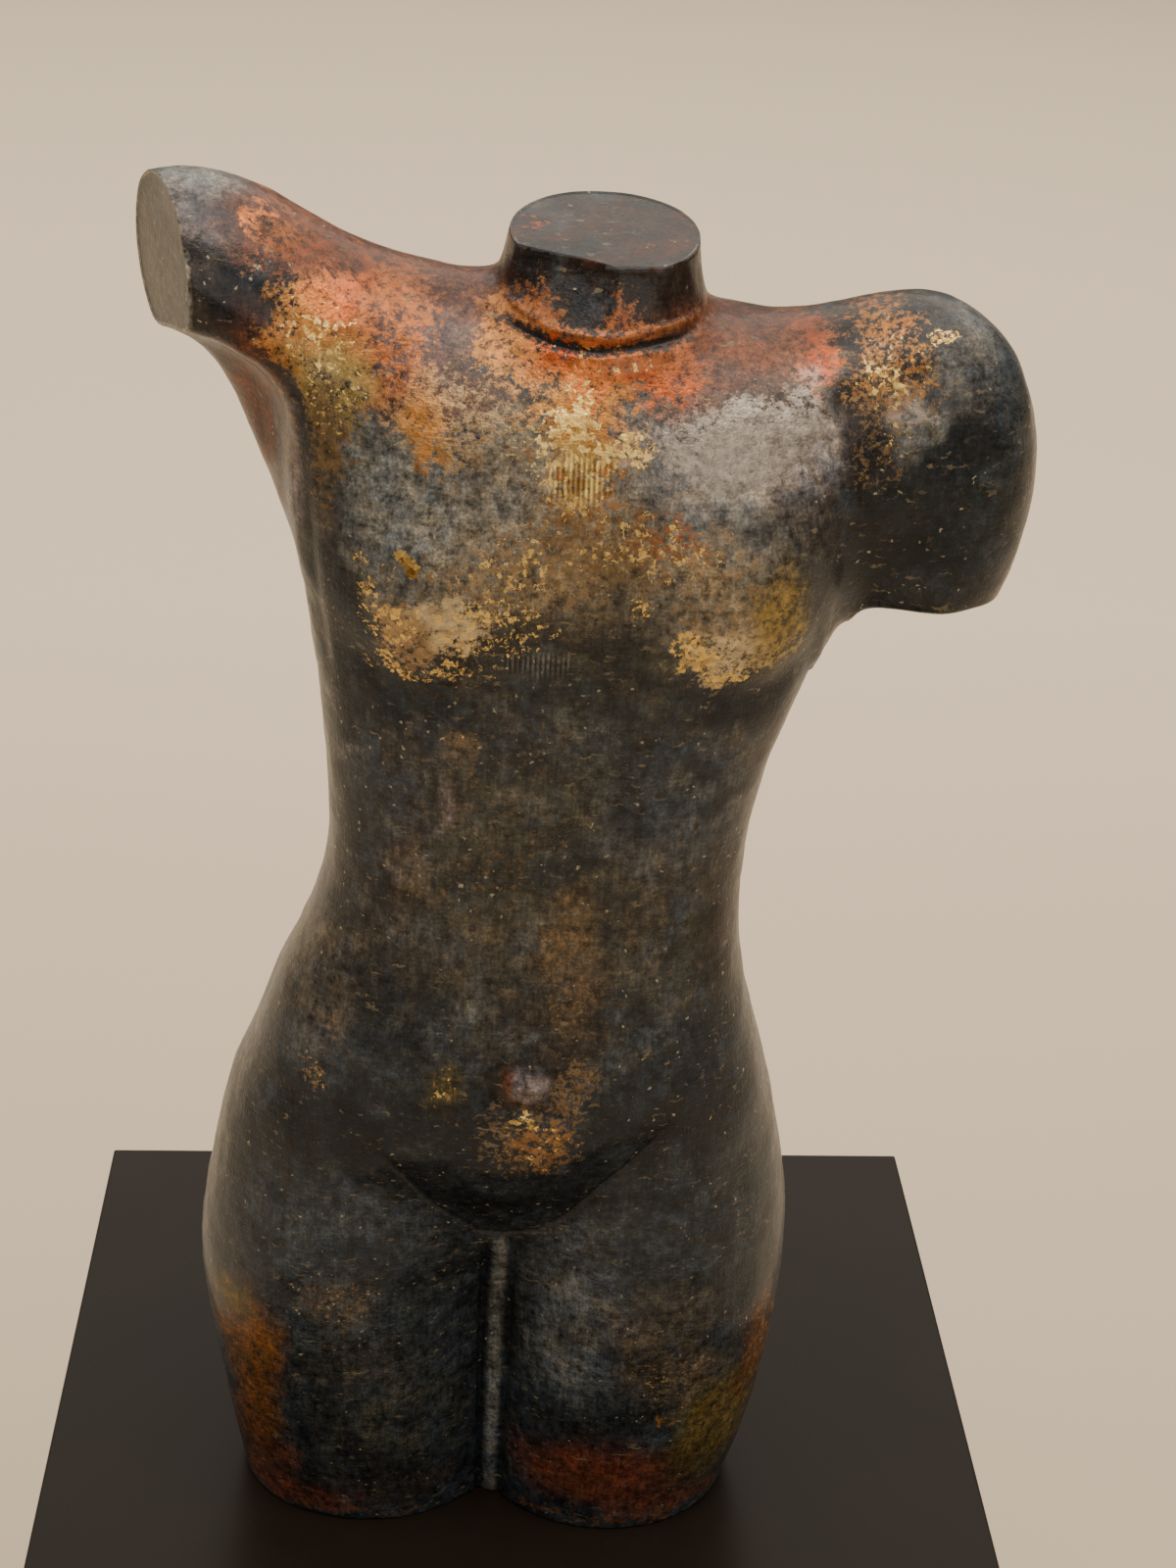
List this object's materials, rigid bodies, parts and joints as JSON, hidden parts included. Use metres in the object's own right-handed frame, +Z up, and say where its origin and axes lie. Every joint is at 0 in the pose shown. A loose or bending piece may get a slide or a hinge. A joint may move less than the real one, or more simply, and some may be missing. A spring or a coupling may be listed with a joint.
{
  "type": "torso sculpture on plinth",
  "caption": "Headless female torso in patinated cast resin, one arm raised and one hanging, both cut short, on a dark square plinth.",
  "frame": {"origin": "middle of the plinth's underside, on the floor", "axes": "+Z up, the figure faces -Y, +X to a viewer's right"},
  "size_m": [0.5, 0.5, 1.1912],
  "materials": {
    "patinated_resin": "cast resin, bronze-like patina of slate, brown, copper and gold leaf under a satin varnish",
    "dark_board": "dark brown satin lacquer on board"
  },
  "bodies": {
    "root": {"torso": "patinated_resin", "plinth": "dark_board"}
  },
  "joints": []
}
